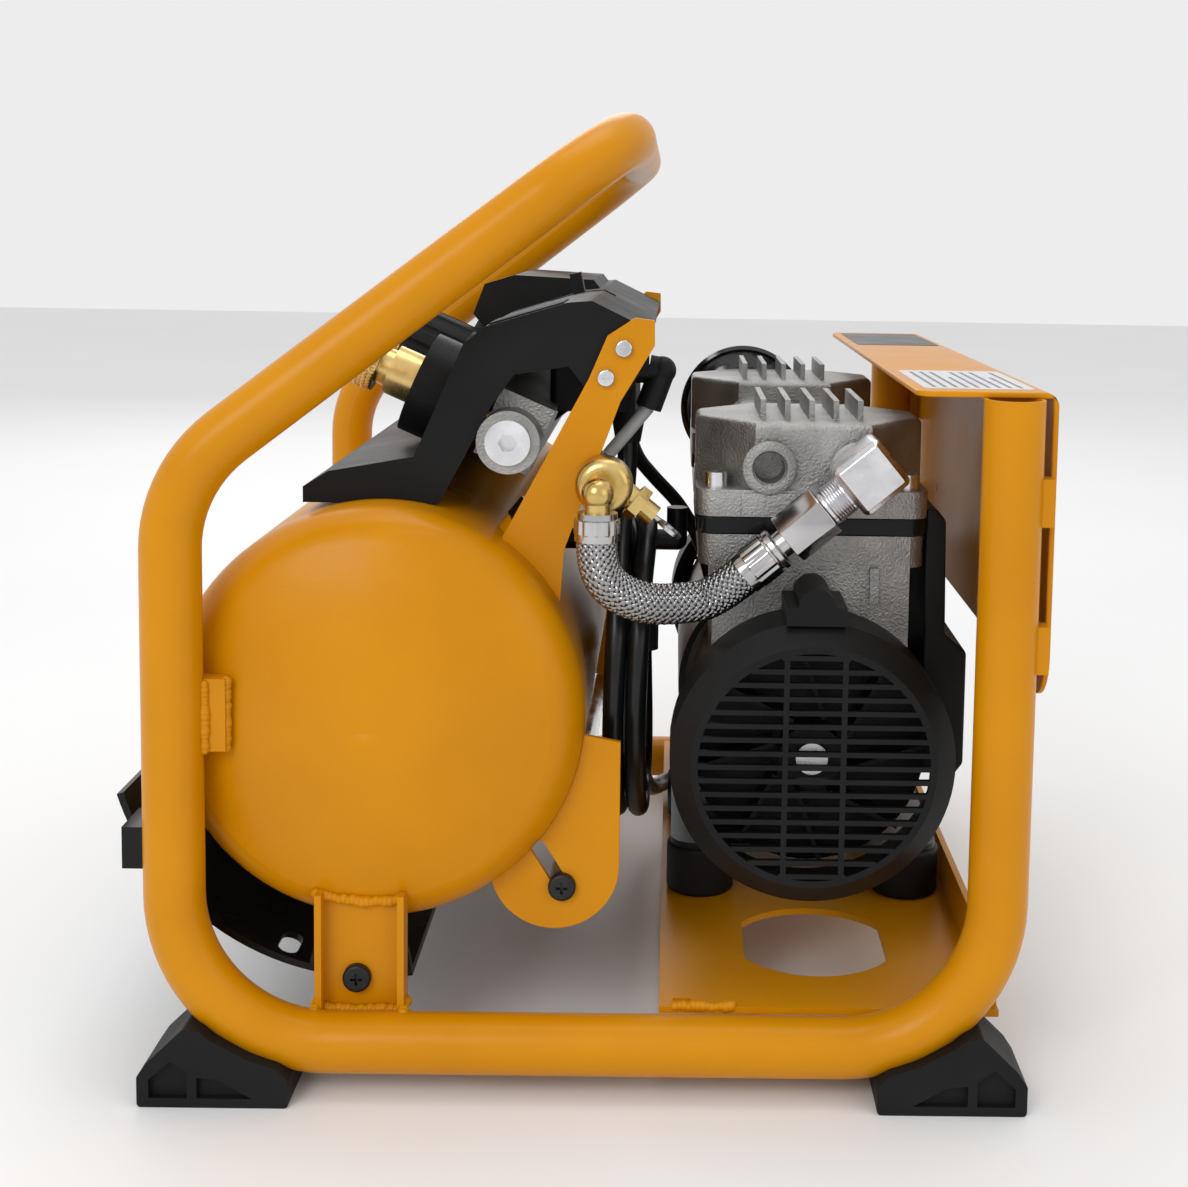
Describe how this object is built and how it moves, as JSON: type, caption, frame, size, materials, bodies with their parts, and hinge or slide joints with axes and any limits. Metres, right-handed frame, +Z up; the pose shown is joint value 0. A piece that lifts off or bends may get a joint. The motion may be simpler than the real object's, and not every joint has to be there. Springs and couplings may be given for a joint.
{
  "type": "twin-head hand-carry air compressor",
  "caption": "Hand-carry oil-free air compressor: side-lying tank, pump and motor on rubber mounts, sloping control console and a tubular roll frame with a carry handle.",
  "frame": {"origin": "on the floor, below the middle of the machine's box without its power cord", "axes": "+X towards the pump end and end panel, +Y towards the machine's left side, +Z up"},
  "size_m": [0.3964, 0.4344, 0.4197],
  "materials": {
    "yellow_paint": "semi-gloss powder coat",
    "foot_moulding": "satin moulded",
    "rubber": "matte",
    "black_paint": "semi-gloss",
    "black_screws": "black oxide",
    "zinc_steel": "bright zinc",
    "brass": "turned",
    "grey_tube": "smooth",
    "black_plastic": "fine grain",
    "gloss_black": "gloss",
    "steel_braid": "stainless braid",
    "cast_aluminium": "sand-blasted casting",
    "bore_aluminium": "machined",
    "clear_lens": "clear",
    "needle_paint": "satin",
    "lever_plastic": "satin",
    "core_steel": "laminated",
    "shaft_steel": "ground",
    "cord_sheath": "satin jacket",
    "cord_plug": "moulded"
  },
  "bodies": {
    "compressor": {"air_filter": "gloss_black", "base_plate": "yellow_paint", "braided_hose": "steel_braid", "check_valve": "brass", "console_screws": "zinc_steel", "console_shell": "black_plastic", "console_straps": "yellow_paint", "cord_coil": "cord_sheath", "cord_hook": "black_paint", "cord_rest_rod": "zinc_steel", "coupler_bodies": "brass", "crankcases": "cast_aluminium", "cylinder_heads": "cast_aluminium", "cylinder_liners": "bore_aluminium", "drain_valve": "brass", "fan_shrouds": "black_plastic", "frame_screws": "black_screws", "front_feet": "foot_moulding", "front_guard": "black_paint", "gauge_cases": "black_plastic", "gauge_glasses": "clear_lens", "handle_hoop": "yellow_paint", "head_bolts": "zinc_steel", "head_elbow": "zinc_steel", "hose_fittings": "zinc_steel", "manifold": "cast_aluminium", "manifold_plugs": "zinc_steel", "motor_housing": "black_paint", "motor_lead": "cord_sheath", "power_cord": "cord_sheath", "power_plug": "cord_plug", "pressure_switch": "black_plastic", "rear_feet": "foot_moulding", "rear_panel": "yellow_paint", "rubber_mounts": "rubber", "safety_valve": "brass", "shaft_bearings": "shaft_steel", "side_covers": "black_plastic", "side_frame_left": "yellow_paint", "side_frame_right": "yellow_paint", "stator": "core_steel", "strain_reliefs": "rubber", "tank_brackets": "yellow_paint", "tank_shell": "yellow_paint", "transfer_tubes": "bore_aluminium", "unloader_elbow": "black_plastic", "unloader_tube": "grey_tube", "valve_plates": "black_paint"},
    "rotor": {"motor_shaft": "shaft_steel", "cooling_fans": "black_plastic"},
    "piston_right_body": {"piston_right": "bore_aluminium"},
    "piston_left_body": {"piston_left": "bore_aluminium"},
    "knob": {"regulator_knob": "black_plastic"},
    "sleeve_right": {"coupler_sleeve_right": "brass"},
    "sleeve_left": {"coupler_sleeve_left": "brass"},
    "tank_pointer": {"tank_needle": "needle_paint"},
    "outlet_pointer": {"outlet_needle": "needle_paint"},
    "on_off_lever": {"switch_lever": "lever_plastic"},
    "safety_pull": {"safety_ring": "zinc_steel"},
    "drain_handle": {"drain_lever": "zinc_steel"}
  },
  "joints": [
    {"name": "shaft_spin", "type": "hinge", "parent": "compressor", "child": "rotor", "pos_m": [0.10081, 0, 0.139], "axis": [0, 1, 0], "continuous": true},
    {"name": "piston_right_stroke", "type": "slide", "parent": "compressor", "child": "piston_right_body", "axis": [0, 0, 1], "range_m": [-0.009, 0.009]},
    {"name": "piston_left_stroke", "type": "slide", "parent": "compressor", "child": "piston_left_body", "axis": [0, 0, 1], "range_m": [-0.009, 0.009]},
    {"name": "regulator_turn", "type": "hinge", "parent": "compressor", "child": "knob", "pos_m": [-0.08302, 0, 0.30075], "axis": [-0.9184, 0, 0.3955], "range_deg": [-540, 540]},
    {"name": "sleeve_right_pull", "type": "slide", "parent": "compressor", "child": "sleeve_right", "axis": [0.9184, 0, -0.3955], "range_m": [0, 0.005], "stiffness_N_per_m": 800, "springref_m": -0.001},
    {"name": "sleeve_left_pull", "type": "slide", "parent": "compressor", "child": "sleeve_left", "axis": [0.9184, 0, -0.3955], "range_m": [0, 0.005], "stiffness_N_per_m": 800, "springref_m": -0.001},
    {"name": "tank_needle_turn", "type": "hinge", "parent": "compressor", "child": "tank_pointer", "pos_m": [-0.0674, -0.041, 0.29402], "axis": [0.9184, 0, -0.3955], "range_deg": [0, 270]},
    {"name": "outlet_needle_turn", "type": "hinge", "parent": "compressor", "child": "outlet_pointer", "pos_m": [-0.0674, 0.041, 0.29402], "axis": [0.9184, 0, -0.3955], "range_deg": [0, 270]},
    {"name": "switch_throw", "type": "hinge", "parent": "compressor", "child": "on_off_lever", "pos_m": [-0.00919, -0.022, 0.327], "axis": [0, 1, 0], "range_deg": [0, 24]},
    {"name": "safety_pull_out", "type": "slide", "parent": "compressor", "child": "safety_pull", "axis": [0.7809, 0, -0.6247], "range_m": [0, 0.003], "stiffness_N_per_m": 1500, "springref_m": -0.001},
    {"name": "drain_turn", "type": "hinge", "parent": "compressor", "child": "drain_handle", "pos_m": [-0.05119, -0.012, 0.05331], "axis": [0, 1, 0], "range_deg": [0, 90]}
  ]
}
